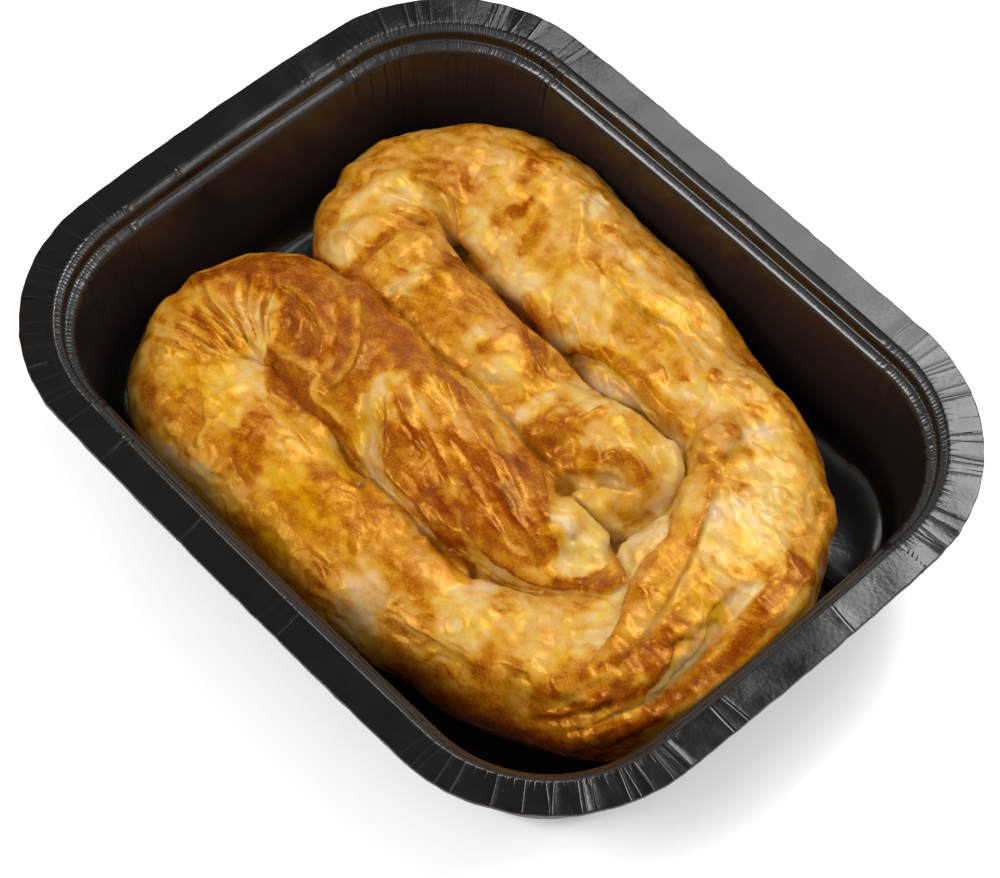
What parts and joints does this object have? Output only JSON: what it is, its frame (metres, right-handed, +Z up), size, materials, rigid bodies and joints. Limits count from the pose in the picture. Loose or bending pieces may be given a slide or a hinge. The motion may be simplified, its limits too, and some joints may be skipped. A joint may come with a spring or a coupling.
{
  "type": "borek",
  "caption": "Baked coil of rolled thin-layered pastry with both ends curled inwards, lying in a shallow oblong tray of black coated board with a flat rim.",
  "frame": {"origin": "centre of the tray in plan, on the plane that its underside rests on", "axes": "+X along the tray's long side, +Y along its short side, +Z up"},
  "size_m": [0.201, 0.1616, 0.04],
  "materials": {
    "tray_board": "glossy film on black board",
    "baked_pastry": "baked, satin with an oily sheen"
  },
  "bodies": {
    "root": {"tray": "tray_board", "pastry": "baked_pastry"}
  },
  "joints": []
}
